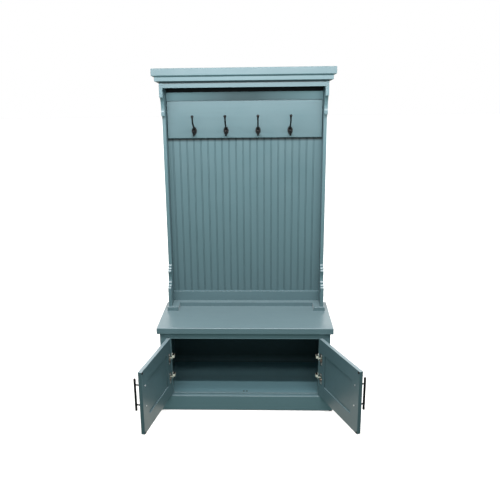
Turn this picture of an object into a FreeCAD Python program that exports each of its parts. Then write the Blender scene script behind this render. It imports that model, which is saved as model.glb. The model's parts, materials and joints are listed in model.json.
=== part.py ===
"""Hall tree: a bench cabinet with two doors below a hutch with a beadboard back and coat hooks.

Millimetres. +Z is up, the front faces -Y, and the origin is on the floor under the middle of the cabinet.
"""
import FreeCAD, Part
import math
import os

V = FreeCAD.Vector

# Overall
TOTAL_HEIGHT = 1829.0
CARCASS_DEPTH = 398.0
BOARD_T = 18.0
FIT_GAP = 0.1
SAME_PLANE = 0.01
EASED_EDGE = 1.5

# Cabinet
CABINET_WIDTH = 920.0
SEAT_HEIGHT = 485.0
SEAT_T = 35.0
SEAT_SIDE_OVERHANG = 15.5
SEAT_FRONT_OVERHANG = 12.0
SEAT_EDGE_R = 4.0
FRAME_STILE_W = 60.0
TOP_RAIL_H = 31.0
FLOOR_T = 18.0
FLOOR_STEP = 6.5
CABINET_BACK_T = 6.0
SUPPORT_SIDE = 60.0

# Base
GLIDE_H = 5.0
GLIDE_D = 20.0
GLIDE_INSET = 12.0
BASEBOARD_H = 83.5
BASEBOARD_T = 21.0
BASEBOARD_EDGE_R = 3.0

# Small plugs in the cabinet floor
PLUG_D = 8.0
PLUG_FLANGE_D = 10.0
PLUG_FLANGE_T = 1.2
PLUG_DEPTH = 10.0
PLUG_SPACING = 17.0
PLUG_SETBACK = 6.0

# Hutch frame
HUTCH_WIDTH = 892.0
UPRIGHT_DEPTH = 77.0

# Corbels at the top of the side panels
CORBEL_DEPTH = 145.0
CORBEL_DROP = 48.0
CORBEL_STEP = 18.0
COVE_H = 75.0
COVE_IN = 26.0
COVE_SAG = 10.0
FLARE_OUT = 4.0
FLARE_H = 23.0

# Brackets at the foot of the side panels: three rounded steps, a hollow and three more steps
BRACKET_DEPTH = 133.0
BRACKET_STRAIGHT_H = 104.0
STEP_LOW_H = 9.0
STEP_MIDDLE_H = 12.5
STEP_TOP_H = 16.5
SHELF_IN = 4.0
WAIST_IN = 33.0
HOLLOW_H = 57.0
HOLLOW_OUT = 8.0
HOLLOW_SAG = 6.0

# Cornice
CAP_FACE_H = 36.0
CAP_EDGE_H = 8.0
CAP_OUT = 34.0
CAP_TOP_R = 4.0
MOULDING_FACE_H = 20.0
MOULDING_EDGE_H = 10.0
MOULDING_OUT = 20.0
CORNICE_LIP = 1.0
FRIEZE_H = 25.0

# Hutch base on the seat
HUTCH_BASE_T = 22.0
HUTCH_BASE_OUT = 7.0
FOOT_W = 64.0
FOOT_FRONT_OUT = 14.0
LEDGE_DEPTH = 70.0
FOOT_EDGE_R = 2.0

# Back of the hutch
BEADBOARD_T = 10.0
BEAD_PITCH = 39.2
BEAD_SHIFT = -9.6
BEAD_W = 6.0
QUIRK_W = 1.5
QUIRK_DEPTH = 1.6
HOOK_BOARD_H = 201.0
HOOK_BOARD_END_GAP = 2.5
HOOK_BOARD_DROP = 70.0
HOOK_BOARD_EDGE_R = 3.0
LOWER_RAIL_H = 57.0
LOWER_RAIL_T = 18.0
CLEAT_H = 49.0
CLEAT_T = 12.0
UPPER_BAND_T = 16.0
WALL_HOLE_D = 6.0
WALL_HOLE_SPACING = 406.0
WALL_HOLE_UP = 34.0

# Coat hooks
HOOK_COUNT = 4
HOOK_PITCH = 176.0
HOOK_ROW_OFFSET = -14.0
HOOK_PLATE_W = 28.0
HOOK_PLATE_H = 50.0
HOOK_PLATE_T = 4.0
HOOK_PLATE_UP = 15.0
PRONG_R = 4.4
PRONG_ROOT_R = 6.6
PRONG_ROOT_LENGTH = 20.0
UPPER_ROOT_UP = 34.0
UPPER_SLOPE_REACH = 78.0
UPPER_SLOPE_RISE = 38.0
UPPER_TIP_REACH = 16.0
UPPER_TIP_RISE = 35.0
UPPER_BEND_R = 30.0
UPPER_BALL_R = 7.6
LOWER_ROOT_UP = 17.0
LOWER_SLOPE_REACH = 32.0
LOWER_SLOPE_DROP = 22.0
LOWER_TIP_REACH = 10.0
LOWER_TIP_RISE = 29.0
LOWER_BEND_R = 8.0
LOWER_BALL_R = 6.4
BALL_NECK_LENGTH = 12.0
HOOK_SCREW_SPACING = 17.0
HOOK_SCREW_D = 3.2
HOOK_SCREW_LENGTH = 20.0
HOOK_SCREW_HEAD_D = 6.0
HOOK_SCREW_HEAD_T = 1.8

# Screws from the seat up into the hutch base
HUTCH_SCREW_D = 5.0
HUTCH_SCREW_LENGTH = 48.0
HUTCH_SCREW_HEAD_D = 10.0
HUTCH_SCREW_HEAD_T = 3.0
HUTCH_SCREW_LEDGE_X = 200.0

# Doors
DOOR_T = 19.0
DOOR_OVERLAY = 19.0
DOOR_TOP_OVERLAP = 6.0
DOOR_SILL_GAP = 2.5
DOOR_MEETING_GAP = 3.0
DOOR_STANDOFF = 3.2
HINGE_STILE_W = 62.0
PULL_STILE_W = 73.0
DOOR_RAIL_H = 75.0
DOOR_PANEL_T = 7.0
DOOR_GROOVE = 8.0
DOOR_PANEL_PLAY = 1.0
LEFT_REST_DEG = 101.0
RIGHT_REST_DEG = 111.5
BUMPER_D = 11.0
BUMPER_T = 3.0
BUMPER_INSET = 7.0

# Bar pulls
PULL_CENTRES = 108.0
PULL_BAR_D = 12.0
PULL_BAR_LENGTH = 172.0
PULL_POST_D = 8.0
PULL_STANDOFF = 35.0
PULL_EDGE_INSET = 38.0
PULL_HEIGHT = 283.0
PULL_END_R = 1.0
PULL_SCREW_D = 4.0
PULL_SCREW_IN_POST = 9.0
PULL_SCREW_HEAD_D = 8.0
PULL_SCREW_HEAD_T = 2.4

# Cup hinges: one pivot for each hinge, inside its cup
HINGE_INSET = 111.0
PIVOT_INSET = 7.0
PIVOT_DEPTH = 8.3
PIN_D = 2.4
PIN_FIT = 0.05
CUP_D = 35.0
CUP_DEPTH = 12.5
CUP_WALL = 0.8
CUP_EDGE = 3.0
CUP_FLOOR_PLAY = 0.3
EAR_T = 3.0
EAR_W = 4.6
EAR_DEPTH = 6.0
FLANGE_T = 1.2
FLANGE_H = 62.0
FLANGE_W = 24.0
FLANGE_LEAD = 8.0
CUP_SCREW_SPACING = 48.0
CUP_SCREW_SETBACK = 9.5
CUP_SCREW_D = 3.5
CUP_SCREW_LENGTH = 13.0
CUP_SCREW_HEAD_D = 7.0
CUP_SCREW_HEAD_T = 1.6
KNUCKLE_R = 2.3
KNUCKLE_H = 8.0
KNUCKLE_PLAY = 0.3
ARM_T = 2.0
ARM_LIFT = 1.1
ARM_PLATE_H = 38.0
ARM_PLATE_MARGIN = 1.0
ARM_BODY_W = 12.0
ARM_BODY_H = 15.0
ARM_BODY_FRONT = 1.0
ARM_BODY_BACK = 24.0
ARM_BODY_R = 3.0
ARM_SCREW_SPACING = 27.0
ARM_SCREW_D = 3.5
ARM_SCREW_LENGTH = 18.0
ARM_SCREW_HEAD_D = 7.0
ARM_SCREW_HEAD_T = 1.8

# Planes that the pieces share
BACK_Y = CARCASS_DEPTH / 2
FRAME_FRONT_Y = -CARCASS_DEPTH / 2
FRAME_BACK_Y = FRAME_FRONT_Y + BOARD_T
CABINET_X = CABINET_WIDTH / 2
CABINET_INNER_X = CABINET_X - BOARD_T
OPENING_X = CABINET_X - FRAME_STILE_W
BASEBOARD_X = CABINET_X + BASEBOARD_T
BASEBOARD_FRONT_Y = FRAME_FRONT_Y - BASEBOARD_T
BASEBOARD_TOP_Z = GLIDE_H + BASEBOARD_H
FLOOR_TOP_Z = BASEBOARD_TOP_Z + FLOOR_STEP
FLOOR_BOTTOM_Z = FLOOR_TOP_Z - FLOOR_T
SEAT_BOTTOM_Z = SEAT_HEIGHT - SEAT_T
OPENING_TOP_Z = SEAT_BOTTOM_Z - TOP_RAIL_H
CABINET_BACK_Y = BACK_Y - CABINET_BACK_T

HUTCH_X = HUTCH_WIDTH / 2
HUTCH_INNER_X = HUTCH_X - BOARD_T
HUTCH_BASE_TOP_Z = SEAT_HEIGHT + HUTCH_BASE_T
CORBEL_FRONT_Y = BACK_Y - CORBEL_DEPTH
BRACKET_FRONT_Y = BACK_Y - BRACKET_DEPTH
CAP_BOTTOM_Z = TOTAL_HEIGHT - CAP_FACE_H - CAP_EDGE_H
SOFFIT_Z = CAP_BOTTOM_Z - MOULDING_FACE_H - MOULDING_EDGE_H
FRIEZE_BOTTOM_Z = SOFFIT_Z - FRIEZE_H
BEADBOARD_FACE_Y = BACK_Y - BEADBOARD_T
HOOK_FACE_Y = BEADBOARD_FACE_Y - BOARD_T
LOWER_RAIL_FACE_Y = BEADBOARD_FACE_Y - LOWER_RAIL_T
HOOK_BOARD_TOP_Z = FRIEZE_BOTTOM_Z - HOOK_BOARD_DROP
HOOK_BOARD_BOTTOM_Z = HOOK_BOARD_TOP_Z - HOOK_BOARD_H
CLEAT_BOTTOM_Z = SOFFIT_Z - CLEAT_H
HUTCH_BASE_X = HUTCH_X + HUTCH_BASE_OUT
FOOT_FRONT_Y = BRACKET_FRONT_Y - FOOT_FRONT_OUT
LEDGE_FRONT_Y = BACK_Y - LEDGE_DEPTH

DOOR_W = OPENING_X + DOOR_OVERLAY - DOOR_MEETING_GAP / 2
DOOR_EDGE_X = OPENING_X + DOOR_OVERLAY
DOOR_BACK_Y = FRAME_FRONT_Y - DOOR_STANDOFF
DOOR_BOTTOM_Z = BASEBOARD_TOP_Z + DOOR_SILL_GAP
DOOR_TOP_Z = OPENING_TOP_Z + DOOR_TOP_OVERLAP
HINGE_HEIGHTS = (DOOR_BOTTOM_Z + HINGE_INSET, DOOR_TOP_Z - HINGE_INSET)
PIVOT_X = DOOR_EDGE_X - PIVOT_INSET
PIVOT_Y = DOOR_BACK_Y - PIVOT_DEPTH
CUP_CENTRE = CUP_EDGE + CUP_D / 2
EAR_START = KNUCKLE_H / 2 + KNUCKLE_PLAY
PIN_LENGTH = 2 * (EAR_START + EAR_T)
SIDES = {"left": -1, "right": 1}
REST_DEG = {"left": LEFT_REST_DEG, "right": RIGHT_REST_DEG}


def block(xa, xb, ya, yb, za, zb):
    """A box between two corners, given in any order."""
    low = V(min(xa, xb), min(ya, yb), min(za, zb))
    return Part.makeBox(abs(xb - xa), abs(yb - ya), abs(zb - za), low)


def rod(start, end, diameter):
    """A round bar from one point to another."""
    return Part.makeCylinder(diameter / 2, (end - start).Length, start, end - start)


def ease(shape, radius, chosen):
    """Round the edges whose middle point passes a test."""
    return shape.makeFillet(radius, [edge for edge in shape.Edges if chosen(edge.CenterOfMass)])


def near(a, b):
    """True where two coordinates are the same plane."""
    return abs(a - b) < SAME_PLANE


def rounded_front(shape, radius):
    """Round all the edges of a board's front face."""
    front = shape.BoundBox.YMin
    return ease(shape, radius, lambda middle: near(middle.y, front))


def save(name, shapes):
    """Write one piece, or one group of separate identical pieces."""
    solids = shapes if isinstance(shapes, list) else [shapes]
    shape = solids[0] if len(solids) == 1 else Part.makeCompound(solids)
    shape.exportStep(os.path.join("parts", name + ".step"))


def profile_prism(edges, direction):
    """Push a closed outline along a direction."""
    return Part.Face(Part.Wire(edges)).extrude(direction)


def line(a, b):
    return Part.LineSegment(a, b).toShape()


def arc(a, middle, b):
    return Part.Arc(a, middle, b).toShape()


# Cornice

def cornice_outline(reach, z):
    """The outline of a cornice board at one height, reaching out over the front and both sides."""
    half = HUTCH_X + reach
    front = CORBEL_FRONT_Y - reach
    corners = [V(-half, front, z), V(half, front, z), V(half, BACK_Y, z), V(-half, BACK_Y, z)]
    return Part.makePolygon(corners + corners[:1])


def cornice_layer(out, out_below, face_h, edge_h, bottom):
    """A board over the hutch, bevelled underneath nearly back to what it rests on."""
    low = cornice_outline(out_below + CORNICE_LIP, bottom)
    high = cornice_outline(out, bottom + edge_h)
    bevel = Part.makeLoft([low, high], True, True)
    face = Part.Face(high).extrude(V(0, 0, face_h))
    return bevel.fuse(face).removeSplitter()


def top_cap():
    cap = cornice_layer(CAP_OUT, MOULDING_OUT, CAP_FACE_H, CAP_EDGE_H, CAP_BOTTOM_Z)
    return ease(cap, CAP_TOP_R, lambda m: near(m.z, TOTAL_HEIGHT) and not near(m.y, BACK_Y))


def crown_moulding():
    return cornice_layer(MOULDING_OUT, 0, MOULDING_FACE_H, MOULDING_EDGE_H, SOFFIT_Z)


def frieze_rail():
    back = CORBEL_FRONT_Y + BOARD_T
    return block(-HUTCH_INNER_X, HUTCH_INNER_X, CORBEL_FRONT_Y, back, FRIEZE_BOTTOM_Z, SOFFIT_Z)


# Side panels

def panel_point(x, depth, z):
    return V(x, BACK_Y - depth, z)


def shoulder(a, b):
    """A rounded shoulder, upright where it starts and level where it ends."""
    turn = math.sqrt(0.5)
    return arc(a, V(a.x, a.y + (b.y - a.y) * (1 - turn), a.z + (b.z - a.z) * turn), b)


def hollow(a, b, sag):
    """A hollow curve whose middle is set back."""
    return arc(a, (a + b) / 2 + V(0, sag, 0), b)


def steps_up(start, inward):
    """Rounded steps up and back from an upright face, and the point where they end."""
    rises = (STEP_LOW_H, STEP_MIDDLE_H, STEP_TOP_H)
    round_in = inward / len(rises) - SHELF_IN
    edges = []
    for rise in rises:
        crest = start + V(0, round_in, rise)
        back = crest + V(0, SHELF_IN, 0)
        edges += [shoulder(start, crest), line(crest, back)]
        start = back
    return edges, start


def bracket_edges(x):
    """The front of a side panel's foot, going up to the upright."""
    foot = panel_point(x, BRACKET_DEPTH, HUTCH_BASE_TOP_Z)
    front = foot + V(0, 0, BRACKET_STRAIGHT_H)
    low_steps, waist = steps_up(front, WAIST_IN)
    nose = waist + V(0, -HOLLOW_OUT, HOLLOW_H)
    high_steps, upright = steps_up(nose, BACK_Y - UPRIGHT_DEPTH - nose.y)
    edges = [line(foot, front)] + low_steps + [hollow(waist, nose, HOLLOW_SAG)] + high_steps
    return edges, upright


def corbel_edges(x):
    """The front of a side panel's head, going down to the upright."""
    head = panel_point(x, CORBEL_DEPTH, SOFFIT_Z)
    front = panel_point(x, CORBEL_DEPTH, FRIEZE_BOTTOM_Z - CORBEL_DROP)
    cove_start = front + V(0, CORBEL_STEP, 0)
    cove_end = cove_start + V(0, COVE_IN, -COVE_H)
    flare = cove_end - V(0, FLARE_OUT, 0)
    flare_end = flare - V(0, 0, FLARE_H)
    upright = panel_point(x, UPRIGHT_DEPTH, flare_end.z)
    return [
        line(head, front),
        line(front, cove_start),
        hollow(cove_start, cove_end, COVE_SAG),
        line(cove_end, flare),
        line(flare, flare_end),
        line(flare_end, upright),
    ], upright


def side_panel(side):
    x = side * HUTCH_INNER_X
    low_edges, low_end = bracket_edges(x)
    high_edges, high_end = corbel_edges(x)
    edges = low_edges + [line(low_end, high_end)] + high_edges
    edges += [line(panel_point(x, CORBEL_DEPTH, SOFFIT_Z), V(x, BACK_Y, SOFFIT_Z))]
    edges += [line(V(x, BACK_Y, SOFFIT_Z), V(x, BACK_Y, HUTCH_BASE_TOP_Z))]
    edges += [line(V(x, BACK_Y, HUTCH_BASE_TOP_Z), panel_point(x, BRACKET_DEPTH, HUTCH_BASE_TOP_Z))]
    return profile_prism(Part.__sortEdges__(edges), V(side * BOARD_T, 0, 0))


# Back of the hutch

def bead_joints():
    """Where the boards meet, counted both ways from one joint near the middle."""
    reach = HUTCH_INNER_X - 2 * BEAD_W
    first = -math.floor((reach + BEAD_SHIFT) / BEAD_PITCH)
    last = math.floor((reach - BEAD_SHIFT) / BEAD_PITCH)
    return [BEAD_SHIFT + index * BEAD_PITCH for index in range(first, last + 1)]


def beadboard():
    """Boards side by side, with a round bead between two quirks at each joint."""
    z = HUTCH_BASE_TOP_Z
    edges = []
    last = V(-HUTCH_INNER_X, BEADBOARD_FACE_Y, z)
    for middle in bead_joints():
        left = V(middle - BEAD_W / 2, BEADBOARD_FACE_Y + QUIRK_DEPTH, z)
        right = V(middle + BEAD_W / 2, BEADBOARD_FACE_Y + QUIRK_DEPTH, z)
        lip = V(left.x - QUIRK_W, BEADBOARD_FACE_Y, z)
        next_lip = V(right.x + QUIRK_W, BEADBOARD_FACE_Y, z)
        edges += [line(last, lip), line(lip, left)]
        edges += [arc(left, V(middle, BEADBOARD_FACE_Y, z), right), line(right, next_lip)]
        last = next_lip
    corners = [
        last,
        V(HUTCH_INNER_X, BEADBOARD_FACE_Y, z),
        V(HUTCH_INNER_X, BACK_Y, z),
        V(-HUTCH_INNER_X, BACK_Y, z),
        V(-HUTCH_INNER_X, BEADBOARD_FACE_Y, z),
    ]
    edges += [line(a, b) for a, b in zip(corners, corners[1:])]
    return profile_prism(edges, V(0, 0, HOOK_BOARD_TOP_Z - z))


def upper_back_band():
    face = BACK_Y - UPPER_BAND_T
    return block(-HUTCH_INNER_X, HUTCH_INNER_X, face, BACK_Y, HOOK_BOARD_TOP_Z, CLEAT_BOTTOM_Z)


def wall_cleat():
    """The strip under the cornice, with the two holes that fix the hall tree to a wall."""
    face = BACK_Y - CLEAT_T
    cleat = block(-HUTCH_INNER_X, HUTCH_INNER_X, face, BACK_Y, CLEAT_BOTTOM_Z, SOFFIT_Z)
    for side in SIDES.values():
        x = side * WALL_HOLE_SPACING / 2
        z = CLEAT_BOTTOM_Z + WALL_HOLE_UP
        cleat = cleat.cut(rod(V(x, face, z), V(x, BACK_Y, z), WALL_HOLE_D))
    return cleat


def hook_positions():
    first = HOOK_ROW_OFFSET - HOOK_PITCH * (HOOK_COUNT - 1) / 2
    return [first + index * HOOK_PITCH for index in range(HOOK_COUNT)]


def hook_plate_bottom():
    return HOOK_BOARD_BOTTOM_Z + HOOK_PLATE_UP


def hook_screw_points():
    """Two screws to a hook, beside its prongs, on the face of the hook board."""
    z = hook_plate_bottom() + HOOK_PLATE_H / 2
    shifts = [side * HOOK_SCREW_SPACING / 2 for side in SIDES.values()]
    return [V(x + shift, HOOK_FACE_Y, z) for x in hook_positions() for shift in shifts]


def hook_board():
    half = HUTCH_INNER_X - HOOK_BOARD_END_GAP
    board = block(-half, half, HOOK_FACE_Y, BEADBOARD_FACE_Y, HOOK_BOARD_BOTTOM_Z, HOOK_BOARD_TOP_Z)
    board = rounded_front(board, HOOK_BOARD_EDGE_R)
    depth = HOOK_SCREW_LENGTH - HOOK_PLATE_T
    for start in hook_screw_points():
        board = board.cut(rod(start, start + V(0, depth, 0), HOOK_SCREW_D + 2 * FIT_GAP))
    return board


def lower_back_rail():
    top = HUTCH_BASE_TOP_Z + LOWER_RAIL_H
    face = LOWER_RAIL_FACE_Y
    rail = block(-HUTCH_INNER_X, HUTCH_INNER_X, face, BEADBOARD_FACE_Y, HUTCH_BASE_TOP_Z, top)
    return ease(rail, EASED_EDGE, lambda m: near(m.y, face) and near(m.z, top))


# Coat hooks

def prong(root, corner, tip, bend_r, ball_r):
    """A round prong with one bend, thicker at its root, with a ball on a flared neck at its tip."""
    before = (root - corner).normalize()
    after = (tip - corner).normalize()
    half_turn = (math.pi - before.getAngle(after)) / 2
    setback = bend_r * math.tan(half_turn)
    bend_in = corner + before * setback
    bend_out = corner + after * setback
    inward = (before + after).normalize()
    middle = corner + inward * (bend_r / math.cos(half_turn) - bend_r)
    path = Part.Wire([line(root, bend_in), arc(bend_in, middle, bend_out), line(bend_out, tip)])
    section = Part.Wire(Part.makeCircle(PRONG_R, root, corner - root))
    bar = path.makePipeShell([section], True, False)
    thick = Part.makeCone(PRONG_ROOT_R, PRONG_R, PRONG_ROOT_LENGTH, root, corner - root)
    neck = Part.makeCone(PRONG_R, ball_r, BALL_NECK_LENGTH, tip - after * BALL_NECK_LENGTH, after)
    return bar.fuse(thick).fuse(neck).fuse(Part.makeSphere(ball_r, tip))


def hook_plate(x):
    """A leaf-shaped plate, pointed at both ends."""
    y = HOOK_FACE_Y
    bottom = V(x, y, hook_plate_bottom())
    top = bottom + V(0, 0, HOOK_PLATE_H)
    middle = (bottom + top) / 2
    half = V(HOOK_PLATE_W / 2, 0, 0)
    edges = [arc(bottom, middle + half, top), arc(top, middle - half, bottom)]
    return profile_prism(edges, V(0, -HOOK_PLATE_T, 0))


def coat_hook(index):
    """Two prongs from one plate: a long one for hats above a short one for coats."""
    x = hook_positions()[index]
    base = V(x, HOOK_FACE_Y - HOOK_PLATE_T / 2, hook_plate_bottom())
    upper = base + V(0, 0, UPPER_ROOT_UP)
    upper_corner = upper + V(0, -UPPER_SLOPE_REACH, UPPER_SLOPE_RISE)
    upper_tip = upper_corner + V(0, -UPPER_TIP_REACH, UPPER_TIP_RISE)
    lower = base + V(0, 0, LOWER_ROOT_UP)
    lower_corner = lower + V(0, -LOWER_SLOPE_REACH, -LOWER_SLOPE_DROP)
    lower_tip = lower_corner + V(0, -LOWER_TIP_REACH, LOWER_TIP_RISE)
    hook = hook_plate(x)
    hook = hook.fuse(prong(upper, upper_corner, upper_tip, UPPER_BEND_R, UPPER_BALL_R))
    hook = hook.fuse(prong(lower, lower_corner, lower_tip, LOWER_BEND_R, LOWER_BALL_R))
    low_z = base.z - HOOK_PLATE_H
    behind = block(x - HOOK_PLATE_W, x + HOOK_PLATE_W, HOOK_FACE_Y, BACK_Y, low_z, upper_tip.z)
    hook = hook.cut(behind)
    for point in hook_screw_points()[2 * index:2 * index + 2]:
        front = point - V(0, HOOK_PLATE_T, 0)
        hook = hook.cut(rod(front, point, HOOK_SCREW_D + 2 * FIT_GAP))
        seat_point = front + V(0, HOOK_SCREW_HEAD_T, 0)
        hook = hook.cut(rod(front, seat_point, HOOK_SCREW_HEAD_D + 2 * FIT_GAP))
    return hook.removeSplitter()


def hook_screws():
    screws = []
    for point in hook_screw_points():
        front = point - V(0, HOOK_PLATE_T, 0)
        head = rod(front, front + V(0, HOOK_SCREW_HEAD_T, 0), HOOK_SCREW_HEAD_D)
        shank = rod(front, front + V(0, HOOK_SCREW_LENGTH, 0), HOOK_SCREW_D)
        screws.append(head.fuse(shank).removeSplitter())
    return screws


# Hutch base

def hutch_screw_points():
    """Where the screws come up: one in each foot, and two in the ledge."""
    foot_x = HUTCH_BASE_X - FOOT_W / 2
    foot_y = (FOOT_FRONT_Y + LEDGE_FRONT_Y) / 2
    ledge_y = (LEDGE_FRONT_Y + BACK_Y) / 2
    points = [(side * foot_x, foot_y) for side in SIDES.values()]
    return points + [(side * HUTCH_SCREW_LEDGE_X, ledge_y) for side in SIDES.values()]


def drilled_for_hutch(board, points):
    """Cut the screws' holes, and the pockets for their heads, out of a board."""
    for x, y in points:
        start = V(x, y, SEAT_BOTTOM_Z)
        end = start + V(0, 0, HUTCH_SCREW_LENGTH)
        pocket = start + V(0, 0, HUTCH_SCREW_HEAD_T)
        board = board.cut(rod(start, end, HUTCH_SCREW_D + 2 * FIT_GAP))
        board = board.cut(rod(start, pocket, HUTCH_SCREW_HEAD_D + 2 * FIT_GAP))
    return board


def hutch_screws():
    screws = []
    for x, y in hutch_screw_points():
        start = V(x, y, SEAT_BOTTOM_Z)
        head = rod(start, start + V(0, 0, HUTCH_SCREW_HEAD_T), HUTCH_SCREW_HEAD_D)
        shank = rod(start, start + V(0, 0, HUTCH_SCREW_LENGTH), HUTCH_SCREW_D)
        screws.append(head.fuse(shank).removeSplitter())
    return screws


def hutch_ledge():
    ledge = block(-HUTCH_BASE_X, HUTCH_BASE_X, LEDGE_FRONT_Y, BACK_Y, SEAT_HEIGHT, HUTCH_BASE_TOP_Z)
    return drilled_for_hutch(ledge, hutch_screw_points()[2:])


def hutch_foot(side):
    outer = side * HUTCH_BASE_X
    inner = side * (HUTCH_BASE_X - FOOT_W)
    foot = block(inner, outer, FOOT_FRONT_Y, LEDGE_FRONT_Y, SEAT_HEIGHT, HUTCH_BASE_TOP_Z)
    foot = ease(foot, FOOT_EDGE_R, lambda m: near(m.y, FOOT_FRONT_Y) and near(m.z, HUTCH_BASE_TOP_Z))
    return drilled_for_hutch(foot, hutch_screw_points()[:2])


# Cabinet

def seat():
    half = CABINET_X + SEAT_SIDE_OVERHANG
    front = FRAME_FRONT_Y - SEAT_FRONT_OVERHANG
    board = block(-half, half, front, BACK_Y, SEAT_BOTTOM_Z, SEAT_HEIGHT)
    board = ease(board, SEAT_EDGE_R, lambda m: not near(m.y, BACK_Y))
    return drilled_for_hutch(board, hutch_screw_points())


def cabinet_side(side):
    outer = side * CABINET_X
    inner = side * CABINET_INNER_X
    return block(inner, outer, FRAME_BACK_Y, BACK_Y, GLIDE_H, SEAT_BOTTOM_Z)


def cabinet_back():
    x = CABINET_INNER_X
    return block(-x, x, CABINET_BACK_Y, BACK_Y, FLOOR_BOTTOM_Z, SEAT_BOTTOM_Z)


def plug_points():
    y = FRAME_BACK_Y + PLUG_SETBACK
    return [V(side * PLUG_SPACING / 2, y, FLOOR_TOP_Z) for side in SIDES.values()]


def cabinet_floor():
    x = CABINET_INNER_X
    floor = block(-x, x, FRAME_BACK_Y, CABINET_BACK_Y, FLOOR_BOTTOM_Z, FLOOR_TOP_Z)
    for top in plug_points():
        floor = floor.cut(rod(top - V(0, 0, PLUG_DEPTH), top, PLUG_D + 2 * FIT_GAP))
    return floor


def floor_plugs():
    plugs = []
    for top in plug_points():
        flange = rod(top, top + V(0, 0, PLUG_FLANGE_T), PLUG_FLANGE_D)
        stem = rod(top - V(0, 0, PLUG_DEPTH), top + V(0, 0, PLUG_FLANGE_T), PLUG_D)
        plugs.append(flange.fuse(stem).removeSplitter())
    return plugs


def arm_screw_points(side):
    """Where the hinge arms are screwed to the inner edge of a stile."""
    y = (FRAME_FRONT_Y + FRAME_BACK_Y) / 2
    heights = [z + step * ARM_SCREW_SPACING / 2 for z in HINGE_HEIGHTS for step in (-1, 1)]
    return [V(side * OPENING_X, y, z) for z in heights]


def face_stile(side):
    outer = side * CABINET_X
    stile = block(side * OPENING_X, outer, FRAME_FRONT_Y, FRAME_BACK_Y, GLIDE_H, SEAT_BOTTOM_Z)
    depth = V(side * (ARM_SCREW_LENGTH - ARM_T), 0, 0)
    for point in arm_screw_points(side):
        stile = stile.cut(rod(point, point + depth, ARM_SCREW_D + 2 * FIT_GAP))
    return stile


def face_rail(bottom, top):
    return block(-OPENING_X, OPENING_X, FRAME_FRONT_Y, FRAME_BACK_Y, bottom, top)


def baseboard_front():
    x = BASEBOARD_X
    board = block(-x, x, BASEBOARD_FRONT_Y, FRAME_FRONT_Y, GLIDE_H, BASEBOARD_TOP_Z)
    back = FRAME_FRONT_Y
    return ease(board, BASEBOARD_EDGE_R, lambda m: near(m.z, BASEBOARD_TOP_Z) and not near(m.y, back))


def baseboard_side(side):
    outer = side * BASEBOARD_X
    board = block(side * CABINET_X, outer, FRAME_FRONT_Y, BACK_Y, GLIDE_H, BASEBOARD_TOP_Z)
    return ease(board, BASEBOARD_EDGE_R, lambda m: near(m.z, BASEBOARD_TOP_Z) and near(m.x, outer))


def centre_support():
    half = SUPPORT_SIDE / 2
    return block(-half, half, -half, half, GLIDE_H, FLOOR_BOTTOM_Z)


def floor_glides():
    x = BASEBOARD_X - GLIDE_INSET
    front = BASEBOARD_FRONT_Y + GLIDE_INSET
    back = BACK_Y - GLIDE_INSET
    points = [V(0, 0, 0)] + [V(side * x, y, 0) for side in SIDES.values() for y in (front, back)]
    return [rod(point, point + V(0, 0, GLIDE_H), GLIDE_D) for point in points]


# Doors, drawn shut and then turned to their resting angle.
# On a door, u runs from the hinge edge to the meeting edge and w from the back face to the front.

def door_point(side, u, w, z):
    return V(side * (DOOR_EDGE_X - u), DOOR_BACK_Y - w, z)


def door_block(side, u, w, z):
    low = door_point(side, u[0], w[0], z[0])
    high = door_point(side, u[1], w[1], z[1])
    return block(low.x, high.x, low.y, high.y, low.z, high.z)


def door_rod(side, u, z, w, diameter):
    return rod(door_point(side, u, w[0], z), door_point(side, u, w[1], z), diameter)


def opened(name, shapes):
    """Turn a door's pieces about the hinge line, from shut to the resting angle."""
    side = SIDES[name]
    turned = []
    for shape in shapes:
        copy = shape.copy()
        copy.rotate(V(side * PIVOT_X, PIVOT_Y, 0), V(0, 0, 1), side * REST_DEG[name])
        turned.append(copy)
    return turned


DOOR_SPAN = (0.0, DOOR_T)
DOOR_Z = (DOOR_BOTTOM_Z, DOOR_TOP_Z)
PANEL_SPAN = ((DOOR_T - DOOR_PANEL_T) / 2, (DOOR_T + DOOR_PANEL_T) / 2)
PULL_U = DOOR_W - PULL_EDGE_INSET
PULL_HEIGHTS = (PULL_HEIGHT - PULL_CENTRES / 2, PULL_HEIGHT + PULL_CENTRES / 2)
CUP_SCREW_U = CUP_CENTRE + CUP_SCREW_SETBACK
CUP_SCREW_HEIGHTS = [z + way * CUP_SCREW_SPACING / 2 for z in HINGE_HEIGHTS for way in (-1, 1)]


def stile_groove(side, inner_u, outward):
    """The slot in a stile's inner edge that holds the panel, between the rails."""
    z = (DOOR_BOTTOM_Z + DOOR_RAIL_H - DOOR_GROOVE, DOOR_TOP_Z - DOOR_RAIL_H + DOOR_GROOVE)
    return door_block(side, (inner_u, inner_u + outward * DOOR_GROOVE), PANEL_SPAN, z)


def outer_edge_eased(stile, side, u):
    x = door_point(side, u, 0, 0).x
    return ease(stile, EASED_EDGE, lambda m: near(m.x, x))


def hinge_stile(side):
    stile = outer_edge_eased(door_block(side, (0, HINGE_STILE_W), DOOR_SPAN, DOOR_Z), side, 0)
    stile = stile.cut(stile_groove(side, HINGE_STILE_W, -1))
    hole = (0, CUP_DEPTH + CUP_FLOOR_PLAY)
    for z in HINGE_HEIGHTS:
        stile = stile.cut(door_rod(side, CUP_CENTRE, z, hole, CUP_D + 2 * FIT_GAP))
    for z in CUP_SCREW_HEIGHTS:
        depth = (0, CUP_SCREW_LENGTH - FLANGE_T)
        stile = stile.cut(door_rod(side, CUP_SCREW_U, z, depth, CUP_SCREW_D + 2 * FIT_GAP))
    return stile


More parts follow.
